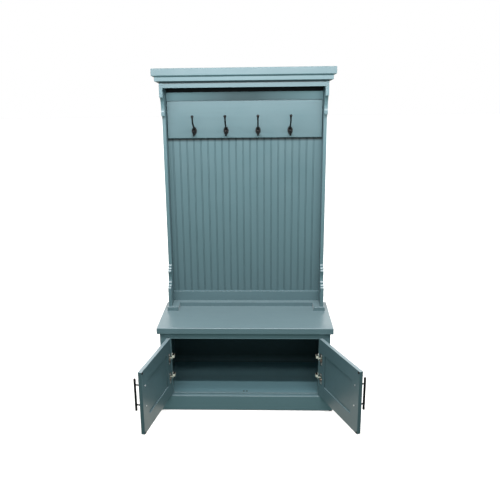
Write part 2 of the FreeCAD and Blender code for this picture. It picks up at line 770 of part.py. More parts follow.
def pull_stile(side):
    span = (DOOR_W - PULL_STILE_W, DOOR_W)
    stile = outer_edge_eased(door_block(side, span, DOOR_SPAN, DOOR_Z), side, DOOR_W)
    stile = stile.cut(stile_groove(side, DOOR_W - PULL_STILE_W, 1))
    for z in PULL_HEIGHTS:
        stile = stile.cut(door_rod(side, PULL_U, z, DOOR_SPAN, PULL_SCREW_D + 2 * FIT_GAP))
    return stile


def door_rail(side, z, groove_z):
    span = (HINGE_STILE_W, DOOR_W - PULL_STILE_W)
    return door_block(side, span, DOOR_SPAN, z).cut(door_block(side, span, PANEL_SPAN, groove_z))


def top_rail(side):
    bottom = DOOR_TOP_Z - DOOR_RAIL_H
    return door_rail(side, (bottom, DOOR_TOP_Z), (bottom, bottom + DOOR_GROOVE))


def bottom_rail(side):
    top = DOOR_BOTTOM_Z + DOOR_RAIL_H
    return door_rail(side, (DOOR_BOTTOM_Z, top), (top - DOOR_GROOVE, top))


def door_panel(side):
    reach = DOOR_GROOVE - DOOR_PANEL_PLAY
    u = (HINGE_STILE_W - reach, DOOR_W - PULL_STILE_W + reach)
    z = (DOOR_BOTTOM_Z + DOOR_RAIL_H - reach, DOOR_TOP_Z - DOOR_RAIL_H + reach)
    return door_block(side, u, PANEL_SPAN, z)


def bar_pull(side):
    axis_w = DOOR_T + PULL_STANDOFF
    low = door_point(side, PULL_U, axis_w, PULL_HEIGHT - PULL_BAR_LENGTH / 2)
    bar = rod(low, low + V(0, 0, PULL_BAR_LENGTH), PULL_BAR_D)
    bar = bar.makeFillet(PULL_END_R, [edge for edge in bar.Edges if not near(edge.BoundBox.XLength, 0)])
    screw_end = DOOR_T + PULL_SCREW_IN_POST
    for z in PULL_HEIGHTS:
        bar = bar.fuse(door_rod(side, PULL_U, z, (DOOR_T, axis_w), PULL_POST_D))
    for z in PULL_HEIGHTS:
        bar = bar.cut(door_rod(side, PULL_U, z, (DOOR_T, screw_end), PULL_SCREW_D + 2 * FIT_GAP))
    return bar.removeSplitter()


def pull_screws(side):
    screws = []
    for z in PULL_HEIGHTS:
        head = door_rod(side, PULL_U, z, (-PULL_SCREW_HEAD_T, 0), PULL_SCREW_HEAD_D)
        end = DOOR_T + PULL_SCREW_IN_POST
        shank = door_rod(side, PULL_U, z, (-PULL_SCREW_HEAD_T, end), PULL_SCREW_D)
        screws.append(head.fuse(shank).removeSplitter())
    return screws


def bumpers(side):
    u = DOOR_W - BUMPER_INSET
    heights = (DOOR_BOTTOM_Z + BUMPER_INSET, DOOR_TOP_Z - BUMPER_INSET)
    return [door_rod(side, u, z, (-BUMPER_T, 0), BUMPER_D) for z in heights]


# Hinges

def hinge_cup(side, z):
    """A cup with a flange on the door's back face, and two ears that hold the pin."""
    inner_d = CUP_D - 2 * CUP_WALL
    floor = CUP_DEPTH - CUP_WALL
    lead = CUP_CENTRE - FLANGE_LEAD
    flange = door_block(side, (lead, lead + FLANGE_W), (-FLANGE_T, 0), (z - FLANGE_H / 2, z + FLANGE_H / 2))
    cup = flange.fuse(door_rod(side, CUP_CENTRE, z, (0, CUP_DEPTH), CUP_D))
    cup = cup.cut(door_rod(side, CUP_CENTRE, z, (-FLANGE_T, floor), inner_d))
    room = door_rod(side, CUP_CENTRE, z, (0, floor), CUP_D - CUP_WALL)
    for way in (-1, 1):
        near_z = z + way * EAR_START
        span = (PIVOT_INSET - EAR_W / 2, PIVOT_INSET + EAR_W / 2)
        ear = door_block(side, span, (floor - EAR_DEPTH, floor), (near_z, near_z + way * EAR_T))
        cup = cup.fuse(ear.common(room))
    pin_hole = hinge_pin(side, z)
    for way in (-1, 1):
        hole_z = z + way * CUP_SCREW_SPACING / 2
        cup = cup.cut(door_rod(side, CUP_SCREW_U, hole_z, (-FLANGE_T, 0), CUP_SCREW_D + 2 * FIT_GAP))
    return cup.cut(pin_hole).removeSplitter()


def hinge_pin(side, z):
    low = V(side * PIVOT_X, PIVOT_Y, z - PIN_LENGTH / 2)
    return rod(low, low + V(0, 0, PIN_LENGTH), PIN_D)


def cup_screws(side):
    screws = []
    for z in CUP_SCREW_HEIGHTS:
        top = -FLANGE_T - CUP_SCREW_HEAD_T
        head = door_rod(side, CUP_SCREW_U, z, (top, -FLANGE_T), CUP_SCREW_HEAD_D)
        shank = door_rod(side, CUP_SCREW_U, z, (top, CUP_SCREW_LENGTH - FLANGE_T), CUP_SCREW_D)
        screws.append(head.fuse(shank).removeSplitter())
    return screws


def hinge_arm(side, z):
    """A bent arm from the knuckle in the cup, round the door's edge, to a plate on the stile's inner edge."""
    plate_x = OPENING_X - ARM_T
    leg_back = PIVOT_Y - ARM_LIFT
    leg_front = leg_back - ARM_T
    half = KNUCKLE_H / 2
    low = V(side * PIVOT_X, PIVOT_Y, z - half)
    arm = rod(low, low + V(0, 0, KNUCKLE_H), 2 * KNUCKLE_R)
    plate_front = FRAME_FRONT_Y + ARM_PLATE_MARGIN
    plate_back = FRAME_BACK_Y - ARM_PLATE_MARGIN
    arm = arm.fuse(block(side * PIVOT_X, side * plate_x, leg_back, leg_front, z - half, z + half))
    arm = arm.fuse(block(side * OPENING_X, side * plate_x, leg_front, plate_front, z - half, z + half))
    tall = ARM_PLATE_H / 2
    plate = block(side * OPENING_X, side * plate_x, plate_front, plate_back, z - tall, z + tall)
    body_front = FRAME_FRONT_Y - ARM_BODY_FRONT
    body_back = FRAME_FRONT_Y + ARM_BODY_BACK
    body_x = plate_x - ARM_BODY_W
    body = block(side * plate_x, side * body_x, body_front, body_back, z - ARM_BODY_H / 2, z + ARM_BODY_H / 2)
    body = ease(body, ARM_BODY_R, lambda m: near(m.x, side * body_x))
    arm = arm.fuse(plate).fuse(body)
    for way in (-1, 1):
        y = (FRAME_FRONT_Y + FRAME_BACK_Y) / 2
        start = V(side * OPENING_X, y, z + way * ARM_SCREW_SPACING / 2)
        end = V(side * plate_x, start.y, start.z)
        arm = arm.cut(rod(start, end, ARM_SCREW_D + 2 * FIT_GAP))
    hole = V(side * PIVOT_X, PIVOT_Y, z - half)
    return arm.cut(rod(hole, hole + V(0, 0, KNUCKLE_H), PIN_D + 2 * PIN_FIT)).removeSplitter()


def arm_screws(side):
    screws = []
    for point in arm_screw_points(side):
        seat_point = point - V(side * ARM_T, 0, 0)
        top = seat_point - V(side * ARM_SCREW_HEAD_T, 0, 0)
        end = seat_point + V(side * ARM_SCREW_LENGTH, 0, 0)
        head = rod(top, seat_point, ARM_SCREW_HEAD_D)
        screws.append(head.fuse(rod(top, end, ARM_SCREW_D)).removeSplitter())
    return screws


def write_hutch():
    save("top_cap", top_cap())
    save("crown_moulding", crown_moulding())
    save("frieze_rail", frieze_rail())
    save("beadboard_back", beadboard())
    save("upper_back_band", upper_back_band())
    save("wall_cleat", wall_cleat())
    save("hook_board", hook_board())
    save("lower_back_rail", lower_back_rail())
    save("hutch_ledge", hutch_ledge())
    save("hutch_screws", hutch_screws())
    save("hook_screws", hook_screws())
    for index in range(HOOK_COUNT):
        save("coat_hook_%d" % (index + 1), coat_hook(index))
    for name, side in SIDES.items():
        save("side_panel_" + name, side_panel(side))
        save("hutch_foot_" + name, hutch_foot(side))


def write_cabinet():
    save("seat", seat())
    save("cabinet_back", cabinet_back())
    save("cabinet_floor", cabinet_floor())
    save("floor_plugs", floor_plugs())
    save("face_top_rail", face_rail(OPENING_TOP_Z, SEAT_BOTTOM_Z))
    save("face_bottom_rail", face_rail(GLIDE_H, FLOOR_TOP_Z))
    save("baseboard_front", baseboard_front())
    save("centre_support", centre_support())
    save("floor_glides", floor_glides())
    save("hinge_arm_screws", arm_screws(-1) + arm_screws(1))
    for name, side in SIDES.items():
        save("cabinet_side_" + name, cabinet_side(side))
        save("face_stile_" + name, face_stile(side))
        save("baseboard_" + name, baseboard_side(side))
        save("hinge_arms_" + name, [hinge_arm(side, z) for z in HINGE_HEIGHTS])


def write_door(name):
    side = SIDES[name]
    pieces = {
        "hinge_stile": [hinge_stile(side)],
        "pull_stile": [pull_stile(side)],
        "top_rail": [top_rail(side)],
        "bottom_rail": [bottom_rail(side)],
        "panel": [door_panel(side)],
        "pull": [bar_pull(side)],
        "pull_screws": pull_screws(side),
        "bumpers": bumpers(side),
        "hinge_cups": [hinge_cup(side, z) for z in HINGE_HEIGHTS],
        "hinge_pins": [hinge_pin(side, z) for z in HINGE_HEIGHTS],
        "cup_screws": cup_screws(side),
    }
    for piece, shapes in pieces.items():
        save("%s_door_%s" % (name, piece), opened(name, shapes))


os.makedirs("parts", exist_ok=True)
write_hutch()
write_cabinet()
for door_name in SIDES:
    write_door(door_name)
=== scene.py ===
"""Looks of a painted hall tree: satin paint, bronze coat hooks, black bar pulls and nickel cup hinges.

Everything is in metres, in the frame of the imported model: +Z up, front towards -Y, origin on the floor.
"""

import fnmatch
import json
import math

import bmesh
import bpy
from mathutils import Matrix, Vector
from mathutils.bvhtree import BVHTree


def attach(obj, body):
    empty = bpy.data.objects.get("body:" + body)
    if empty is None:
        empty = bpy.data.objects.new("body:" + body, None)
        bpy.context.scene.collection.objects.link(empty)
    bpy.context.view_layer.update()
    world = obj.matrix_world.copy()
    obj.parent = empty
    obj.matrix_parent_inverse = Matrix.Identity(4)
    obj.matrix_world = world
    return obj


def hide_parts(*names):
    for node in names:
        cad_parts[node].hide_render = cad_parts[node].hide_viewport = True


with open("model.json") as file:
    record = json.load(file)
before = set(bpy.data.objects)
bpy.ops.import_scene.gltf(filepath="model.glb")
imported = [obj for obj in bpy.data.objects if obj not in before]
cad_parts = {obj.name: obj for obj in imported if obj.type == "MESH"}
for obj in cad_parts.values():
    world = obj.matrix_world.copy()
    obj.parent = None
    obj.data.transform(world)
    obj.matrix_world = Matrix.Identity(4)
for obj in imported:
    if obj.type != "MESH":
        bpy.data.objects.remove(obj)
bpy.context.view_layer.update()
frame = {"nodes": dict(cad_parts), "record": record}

# Camera, found from the photograph's own corners
IMAGE_WIDTH_PX = 500
FOCAL_PX = 607.7
CENTRE_PX = (238.44, 251.22)
SENSOR_WIDTH_MM = 36.0
CAMERA_AT = Vector((0.0899, -3.2346, 1.7460))
CAMERA_PITCH = math.radians(15.378)
CAMERA_YAW = math.radians(2.223)
CAMERA_ROLL = math.radians(-0.721)
CAMERA_REACH = 200.0

# Lights: a ceiling tube, a soft panel in front, a lamp overhead and the ceiling's shine
LAMP_TINT = (1.0, 0.945, 0.96)
TUBE_AT = Vector((0.0, -1.055, 2.41))
TUBE_AIM = Vector((0.0, 0.1, 1.0))
TUBE_SIZE = (2.4, 0.06)
TUBE_POWER = 46.5
PANEL_AT = Vector((0.0, -1.6, 2.0))
PANEL_AIM = Vector((0.0, 0.2, 2.0))
PANEL_SIZE = (2.0, 0.5)
PANEL_POWER = 24.8
OVERHEAD_AT = Vector((0.0, -0.55, 3.0))
OVERHEAD_AIM = Vector((0.0, -0.55, 0.0))
OVERHEAD_SIZE = (2.0, 0.6)
OVERHEAD_POWER = 32.0
SHINE_AT = Vector((0.0, -0.6, 3.0))
SHINE_AIM = Vector((0.0, -0.6, 0.0))
SHINE_SIZE = (3.0, 1.2)
SHINE_POWER = 110.0
UNDER_NO_CEILING = ("top_cap_painted", "crown_moulding_painted")

# Room and floor
ROOM_FRONT = (0.20, 0.20, 0.20)
ROOM_BACK = (1.9, 1.9, 1.9)
ROOM_BACK_SOFT = (0.4, 0.4, 0.4)
ROOM_LOW_FRONT = (0.28, 0.44, 0.42)
ROOM_LOW_BACK = (1.00, 0.97, 0.88)
BACKDROP = (1.0, 1.0, 1.0)
BEHIND_Y = (-0.1, 0.4)
BELOW_Z = (0.0, -0.1)
FLOOR_SIDE = 60.0
FLOOR_COLOUR = (0.90, 0.89, 0.87)
FLOOR_ROUGHNESS = 0.9
FLOOR_SUN = 4.5
FLOOR_SUN_SPREAD = math.radians(100)

# Paint colours
TEAL = (0.090, 0.161, 0.178)
TEAL_WORN = (0.104, 0.182, 0.199)
# Darker copy of the teal on the doors, as painted shade
TEAL_DOOR_SHADED = (0.071, 0.127, 0.142)
# Lighter copies of the teal as painted light: cabinet floor, low boards, hook board and moulding
TEAL_FLOOR_LIT = (0.100, 0.197, 0.222)
TEAL_LOW_LIT = (0.104, 0.183, 0.202)
TEAL_HOOKS_LIT = (0.096, 0.171, 0.189)
TEAL_MOULDING_LIT = (0.097, 0.173, 0.191)
# Black on the cleat under the frieze, standing in for the deep shade there
BLACK_FOR_SHADE = (0.0050, 0.0075, 0.0085)

# Paint surface: spread of its tone, roughness from and to, and strength of its shine
PAINT_SPREAD = 0.06
PAINT_GLOSS = (0.30, 0.40)
PAINT_SHINE = 0.5
DULL_GLOSS = (0.50, 0.60)
DULL_SHINE = 0.35
MATT_SPREAD = 0.15
MATT_GLOSS = (0.60, 0.75)
MATT_SHINE = 0.15
WORN_SPREAD = 0.12
WORN_GLOSS = (0.28, 0.38)

# Paint texture: scale and detail of each noise, and strength and depth in metres of each relief
MOTTLE_NOISE = (3.0, 3.0)
SPECK_NOISE = (70.0, 2.0)
GLOSS_NOISE = (9.0, 3.0)
STROKE_NOISE = (55.0, 4.0)
STROKE_RELIEF = (0.05, 0.0003)
STROKE_DEPTH = 0.35
STROKE_PALE = 1.15
WAVE_NOISE = (45.0, 1.0)
WAVE_RELIEF = (0.10, 0.0006)
PEEL_NOISE = (650.0, 1.0)
PEEL_RELIEF = (0.12, 0.0002)
ALONG_X = (0.05, 1.0, 1.0)
ALONG_Z = (1.0, 1.0, 0.05)

# Dust and painted highlight on faces that look up, by the upward part of their normal
FACING_UP = (0.55, 0.95)
DUST_AND_HIGHLIGHT_COLOUR = (0.54, 0.66, 0.69)
SEAT_SHEEN = 0.2
SEAT_DUST_AND_HIGHLIGHT = 0.025
DOOR_DUST_AND_HIGHLIGHT = 0.20
RECESS_DUST_AND_HIGHLIGHT = 0.08
STEP_DUST_AND_HIGHLIGHT = 0.50

# Painted shade and painted light: the share of the colour at the first place, which is whole again at the
# second.
# X counts from the middle to both sides
FRONT_ONLY = ("Y", (0.191, 0.194))
# Painted shadow on the frieze just under the moulding
FRIEZE_PAINTED_SHADOW = (0.2, ("Z", (1.7545, 1.7495)), FRONT_ONLY)
# Painted shade along the moulding's lower edge
MOULDING_PAINTED_SHADE = (0.2, ("Z", (1.764, 1.7655)), FRONT_ONLY)
# Painted shadow on the beadboard just under the hook board
BEADBOARD_PAINTED_SHADOW = (0.2, ("Z", (1.449, 1.437)), FRONT_ONLY)
# Painted shade in the beadboard's grooves, darker the deeper
BEAD_GROOVE_PAINTED_SHADE = (0.6, ("Y", (0.1904, 0.1893)), FRONT_ONLY)
# Painted shade on the side panels' inner faces towards the back
PANEL_CORNER_PAINTED_SHADE = (0.5, ("Y", (0.185, 0.150)), ("X", (0.4282, 0.4290)))
# Painted shade: the hook board darker towards its bottom
HOOK_BOARD_PAINTED_SHADE = (0.84, ("Z", (1.455, 1.610)))
# Painted light: the band over the hook board paler towards its ends
BAND_ENDS_PAINTED_LIGHT = (2.2, ("X", (0.38, 0.06)), FRONT_ONLY)
# Painted light: the cabinet floor paler towards its rear
FLOOR_REAR_PAINTED_LIGHT = (1.9, ("Y", (0.185, 0.0)))
# Painted shade: the cabinet back darker above its lowest part
BACK_TOP_PAINTED_SHADE = (0.42, ("Z", (0.145, 0.110)))

# Metal, rubber, plastic and bare wood
ARM_TOP_COLOUR = (0.016, 0.014, 0.012)
BRONZE_TONES = ((0.004, 0.004, 0.004), (0.018, 0.015, 0.013))
BLACK_METAL_TONES = ((0.003, 0.003, 0.004), (0.006, 0.006, 0.007))
NICKEL_TONES = ((0.60, 0.62, 0.62), (0.84, 0.87, 0.88))
ARM_TONES = ((0.80, 0.78, 0.66), (0.93, 0.91, 0.79))
CUP_TONES = ((0.22, 0.20, 0.18), (0.52, 0.49, 0.44))
RUBBER_TONES = ((0.010, 0.010, 0.010), (0.016, 0.016, 0.016))
PLASTIC_TONES = ((0.012, 0.012, 0.012), (0.0192, 0.0192, 0.0192))
WOOD_TONES = ((0.42, 0.27, 0.14), (0.62, 0.45, 0.27))
WOOD_GRAIN = (60.0, 5.0, (0.06, 1.0, 1.0))
WOOD_ROUGHNESS = (0.55, 0.75)
WOOD_RELIEF = (0.15, 0.0004)

# Middle part of a noise, where most of its values lie
NOISE_RANGE = (0.3, 0.7)

# Colour sockets of a Mix node
MIX_FIRST = 6
MIX_SECOND = 7
MIX_RESULT = 2

# Softened edges of painted boards
ARRIS = 0.0012
ARRIS_SEGMENTS = 3
SEAM = 0.0003
SHARP = math.radians(35)
FLAT = math.radians(0.5)
WELD = 1e-6
TOUCHING = 0.0004
EDGE_SAMPLES = 9
FACE_INSET = 0.002


def shader(name):
    """A new material with its node tree and its Principled shader."""
    material = bpy.data.materials.new(name)
    material.use_nodes = True
    return material, material.node_tree, material.node_tree.nodes["Principled BSDF"]


def add(tree, kind, **settings):
    """A node with its settings: names of sockets take values, and other names are the node's own."""
    node = tree.nodes.new(kind)
    for name, value in settings.items():
        if name in node.inputs:
            node.inputs[name].default_value = value
        else:
            setattr(node, name, value)
    return node


def noise(tree, scale, detail=3.0, stretch=(1.0, 1.0, 1.0)):
    """Noise in the piece's own metres, so that it stays on the piece when that moves."""
    place = add(tree, "ShaderNodeTexCoord")
    mapping = add(tree, "ShaderNodeMapping", Scale=stretch)
    texture = add(tree, "ShaderNodeTexNoise", Scale=scale, Detail=detail)
    tree.links.new(place.outputs["Object"], mapping.inputs["Vector"])
    tree.links.new(mapping.outputs["Vector"], texture.inputs["Vector"])
    return texture.outputs["Fac"]


def ranged(tree, value, low, high, start=NOISE_RANGE[0], end=NOISE_RANGE[1]):
    """A value from start to end, turned into low to high."""
    node = add(tree, "ShaderNodeMapRange")
    for name, number in (("From Min", start), ("From Max", end), ("To Min", low), ("To Max", high)):
        node.inputs[name].default_value = number
    tree.links.new(value, node.inputs["Value"])
    return node.outputs["Result"]


def mixed(tree, factor, first, second):
    """A colour between two, each a colour or a socket."""
    node = add(tree, "ShaderNodeMix", data_type="RGBA")
    tree.links.new(factor, node.inputs["Factor"])
    for socket, colour in ((node.inputs[MIX_FIRST], first), (node.inputs[MIX_SECOND], second)):
        if isinstance(colour, tuple):
            socket.default_value = (*colour, 1.0)
        else:
            tree.links.new(colour, socket)
    return node.outputs[MIX_RESULT]


def bumped(tree, height, strength, distance, under=None):
    """A normal from a height, over an earlier one."""
    node = add(tree, "ShaderNodeBump", Strength=strength, Distance=distance)
    tree.links.new(height, node.inputs["Height"])
    if under is not None:
        tree.links.new(under, node.inputs["Normal"])
    return node.outputs["Normal"]


def scaled(colour, factor):
    """A colour made lighter or darker."""
    return tuple(channel * factor for channel in colour)


def where(tree, first, second=None):
    """0 to 1 along an axis, from the first place to the second. Of two axes, the larger counts."""
    place = add(tree, "ShaderNodeTexCoord")
    split = add(tree, "ShaderNodeSeparateXYZ")
    sideways = add(tree, "ShaderNodeMath", operation="ABSOLUTE")
    tree.links.new(place.outputs["Object"], split.inputs["Vector"])
    tree.links.new(split.outputs["X"], sideways.inputs[0])
    sockets = {"X": sideways.outputs["Value"], "Y": split.outputs["Y"], "Z": split.outputs["Z"]}
    near = ranged(tree, sockets[first[0]], 0.0, 1.0, *first[1])
    if second is None:
        return near
    either = add(tree, "ShaderNodeMath", operation="MAXIMUM")
    tree.links.new(near, either.inputs[0])
    tree.links.new(ranged(tree, sockets[second[0]], 0.0, 1.0, *second[1]), either.inputs[1])
    return either.outputs["Value"]


def topped(tree, colour, top, amount):
    """A colour with another over it, as much as this where the surface faces up."""
    facing = add(tree, "ShaderNodeNewGeometry")
    split = add(tree, "ShaderNodeSeparateXYZ")
    tree.links.new(facing.outputs["Normal"], split.inputs["Vector"])
    upward = ranged(tree, split.outputs["Z"], 0.0, amount, *FACING_UP)
    return mixed(tree, upward, colour, top)


def satin_paint(name, colour, spread=PAINT_SPREAD, gloss=PAINT_GLOSS, shine=PAINT_SHINE, sheen=0.0, dust_and_highlight=0.0,
                painted_light_and_shade=(), grain=ALONG_X):
    """Satin paint on board: faint mottling, strokes along the board, orange peel and uneven gloss.

    Dust and painted highlight lie on faces that look up, painted shade makes places darker and painted light
    makes them paler.
    """
    material, tree, surface = shader(name)
    broad = ranged(tree, noise(tree, *MOTTLE_NOISE), 0.0, 1.0)
    fine = ranged(tree, noise(tree, *SPECK_NOISE), 0.0, 1.0)
    tone = mixed(tree, broad, scaled(colour, 1 - spread), scaled(colour, 1 + spread))
    paint = mixed(tree, fine, tone, colour)
    strokes = ranged(tree, noise(tree, *STROKE_NOISE, grain), 0.0, 1.0)
    stroked = ranged(tree, strokes, 0.0, STROKE_DEPTH, 0.0, 1.0)
    paint = mixed(tree, stroked, paint, scaled(colour, STROKE_PALE))
    for share, *axes in painted_light_and_shade:
        paint = mixed(tree, where(tree, *axes), scaled(colour, share), paint)
    if dust_and_highlight:
        paint = topped(tree, paint, DUST_AND_HIGHLIGHT_COLOUR, dust_and_highlight)
    tree.links.new(paint, surface.inputs["Base Color"])
    surface.inputs["Specular IOR Level"].default_value = shine
    surface.inputs["Sheen Weight"].default_value = sheen
    tree.links.new(ranged(tree, noise(tree, *GLOSS_NOISE), *gloss), surface.inputs["Roughness"])
    waves = bumped(tree, noise(tree, *WAVE_NOISE), *WAVE_RELIEF)
    brushed = bumped(tree, strokes, *STROKE_RELIEF, waves)
    peel = bumped(tree, noise(tree, *PEEL_NOISE), *PEEL_RELIEF, brushed)
    tree.links.new(peel, surface.inputs["Normal"])
    return material


def patchy(name, tones, tone_noise, gloss, gloss_noise, relief, relief_noise, tone_range=NOISE_RANGE,
           metallic=0.0, shine=0.5, dark_topped=False):
    """A finish between two tones in patches, with uneven gloss, a fine grain and, if dark-topped, dark faces
    that look up.
    """
    material, tree, surface = shader(name)
    patches = ranged(tree, noise(tree, *tone_noise), 0.0, 1.0, *tone_range)
    colour = mixed(tree, patches, *tones)
    if dark_topped:
        colour = topped(tree, colour, ARM_TOP_COLOUR, 1.0)
    tree.links.new(colour, surface.inputs["Base Color"])
    surface.inputs["Metallic"].default_value = metallic
    surface.inputs["Specular IOR Level"].default_value = shine
    tree.links.new(ranged(tree, noise(tree, *gloss_noise), *gloss), surface.inputs["Roughness"])
    tree.links.new(bumped(tree, noise(tree, *relief_noise), *relief), surface.inputs["Normal"])
    return material


def dark_bronze():
    """Oil-rubbed bronze: nearly black, with a trace of brown rubbed through."""
    return patchy("dark_bronze_finish", BRONZE_TONES, (140.0, 4.0), gloss=(0.28, 0.48), gloss_noise=(260.0,),
                  relief=(0.15, 0.0002), relief_noise=(420.0,), tone_range=(0.45, 0.70),
                  metallic=0.2, shine=0.35)


def black_metal():
    """Black powder coat with a fine grain."""
    return patchy("black_metal_finish", BLACK_METAL_TONES, (90.0,), gloss=(0.45, 0.60), gloss_noise=(200.0,),
                  relief=(0.20, 0.0001), relief_noise=(1500.0, 2.0), shine=0.3)


def nickel(name, tones, metallic, dark_topped=False):
    """Nickel-plated steel, brushed along the piece and a little dull in patches."""
    return patchy(name, tones, (120.0,), gloss=(0.32, 0.48), gloss_noise=(300.0,), relief=(0.12, 0.0001),
                  relief_noise=(900.0, 2.0, (1.0, 0.08, 1.0)), metallic=metallic, dark_topped=dark_topped)


def moulded(name, tones, gloss):
    """Rubber or plastic with a moulded grain."""
    return patchy(name, tones, (150.0,), gloss=gloss, gloss_noise=(240.0,), relief=(0.20, 0.0001),
                  relief_noise=(1200.0,))


def bare_wood():
    """Unpainted softwood with its grain along X."""
    material, tree, surface = shader("bare_wood_finish")
    grain = ranged(tree, noise(tree, *WOOD_GRAIN), 0.0, 1.0)
    tree.links.new(mixed(tree, grain, *WOOD_TONES), surface.inputs["Base Color"])
    tree.links.new(ranged(tree, grain, *WOOD_ROUGHNESS, 0.0, 1.0), surface.inputs["Roughness"])
    tree.links.new(bumped(tree, grain, *WOOD_RELIEF), surface.inputs["Normal"])
    return material


# Finish of each slot
slot_of = {name: node.material_slots[0].material.name for name, node in frame["nodes"].items()}
finishes = {
    "teal_paint": satin_paint("teal_paint_finish", TEAL),
    # The black on the cleat under the frieze stands in for the deep shade there
    "black_paint": satin_paint("black_shade_finish", BLACK_FOR_SHADE, MATT_SPREAD, MATT_GLOSS, MATT_SHINE),
    "bare_wood": bare_wood(),
    "dark_bronze": dark_bronze(),
    "black_metal": black_metal(),
    "nickel": nickel("nickel_finish", NICKEL_TONES, metallic=0.8),
    "black_rubber": moulded("black_rubber_finish", RUBBER_TONES, gloss=(0.60, 0.75)),
    "black_plastic": moulded("black_plastic_finish", PLASTIC_TONES, gloss=(0.40, 0.55)),
}
worn_paint = satin_paint("teal_paint_edge", TEAL_WORN, WORN_SPREAD, WORN_GLOSS)

# Nodes whose finish differs from their slot's: dust with painted highlight on level tops and bracket steps,
# painted shadow under the moulding and the hook board, painted shade in grooves, corners, low on the hook
# board and high on the cabinet back, a duller band over the hook board with painted light at its ends,
# painted light on the cabinet floor, and paint made paler as painted light low down and darker as painted
# shade on the doors
dust_and_highlight_paint = satin_paint("teal_paint_dust_and_highlight", TEAL, sheen=SEAT_SHEEN, dust_and_highlight=SEAT_DUST_AND_HIGHLIGHT)
low_lit_paint = satin_paint("teal_paint_low", TEAL_LOW_LIT)
door_shaded_paint = satin_paint("teal_paint_door", TEAL_DOOR_SHADED, dust_and_highlight=DOOR_DUST_AND_HIGHLIGHT)
special = [
    ("crown_moulding", satin_paint("teal_paint_moulding", TEAL_MOULDING_LIT, painted_light_and_shade=[MOULDING_PAINTED_SHADE])),
    ("frieze_rail", satin_paint("teal_paint_frieze", TEAL, painted_light_and_shade=[FRIEZE_PAINTED_SHADOW])),
    ("upper_back_band", satin_paint("teal_paint_dull", TEAL, PAINT_SPREAD, DULL_GLOSS, DULL_SHINE,
                                    painted_light_and_shade=[BAND_ENDS_PAINTED_LIGHT])),
    ("hook_board", satin_paint("teal_paint_hook_board", TEAL_HOOKS_LIT, painted_light_and_shade=[HOOK_BOARD_PAINTED_SHADE])),
    ("beadboard_back", satin_paint("teal_paint_beadboard", TEAL, painted_light_and_shade=[BEAD_GROOVE_PAINTED_SHADE, BEADBOARD_PAINTED_SHADOW],
                                   grain=ALONG_Z)),
    ("side_panel_*", satin_paint("teal_paint_panel", TEAL, dust_and_highlight=STEP_DUST_AND_HIGHLIGHT, painted_light_and_shade=[PANEL_CORNER_PAINTED_SHADE],
                                 grain=ALONG_Z)),
    ("hutch_ledge", dust_and_highlight_paint),
    ("hutch_foot_*", dust_and_highlight_paint),
    ("seat", dust_and_highlight_paint),
    ("cabinet_side_*", satin_paint("teal_paint_upright", TEAL, grain=ALONG_Z)),
    ("cabinet_floor", satin_paint("teal_paint_floor", TEAL_FLOOR_LIT, painted_light_and_shade=[FLOOR_REAR_PAINTED_LIGHT])),
    ("cabinet_back", satin_paint("back_painted_shade_finish", TEAL, MATT_SPREAD, MATT_GLOSS, MATT_SHINE,
                                 painted_light_and_shade=[BACK_TOP_PAINTED_SHADE])),
    ("face_stile_*", satin_paint("teal_paint_low_upright", TEAL_LOW_LIT, grain=ALONG_Z)),
    ("face_*_rail", low_lit_paint),
    ("baseboard_*", low_lit_paint),
    ("*_door_*_stile", satin_paint("teal_paint_door_upright", TEAL_DOOR_SHADED, dust_and_highlight=DOOR_DUST_AND_HIGHLIGHT, grain=ALONG_Z)),
    ("*_door_bottom_rail", satin_paint("teal_paint_bottom_rail", TEAL_DOOR_SHADED, dust_and_highlight=RECESS_DUST_AND_HIGHLIGHT)),
    ("*_door_top_rail", door_shaded_paint),
    ("*_door_panel", door_shaded_paint),
    ("*_door_hinge_cups", nickel("nickel_cup_finish", CUP_TONES, metallic=1.0)),
    ("hinge_arms_*", nickel("nickel_arm_finish", ARM_TONES, metallic=0.3, dark_topped=True)),
]


def finish_of(name):
    """A node's finish: its own, or else its slot's."""
    for pattern, finish in special:
        if fnmatch.fnmatchcase(name, pattern):
            return finish
    return finishes[slot_of[name]]


def dress_nodes():
    """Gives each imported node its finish."""
    for name, node in frame["nodes"].items():
        node.material_slots[0].material = finish_of(name)


def contact_trees():
    """Each node's surface, for finding what it touches."""
    trees = {}
    for name, node in frame["nodes"].items():
        points = [v.co for v in node.data.vertices]
        trees[name] = BVHTree.FromPolygons(points, [p.vertices for p in node.data.polygons])
    return trees


def touches(tree_list, point, normal):
    """Whether something lies against a face at a point."""
    start = point - normal * TOUCHING
    return any(tree.ray_cast(start, normal, 2 * TOUCHING)[0] is not None for tree in tree_list)


def is_joint(edge, others):
    """Whether another board meets either face along this edge."""
    first, last = (v.co for v in edge.verts)
    for face in edge.link_faces:
        inward = face.normal.cross(last - first).normalized()
        if inward.dot(face.calc_center_median() - first) < 0:
            inward = -inward
        for i in range(EDGE_SAMPLES):
            point = first.lerp(last, (i + 0.5) / EDGE_SAMPLES) + inward * FACE_INSET
            if touches(others, point, face.normal):
                return True
    return False


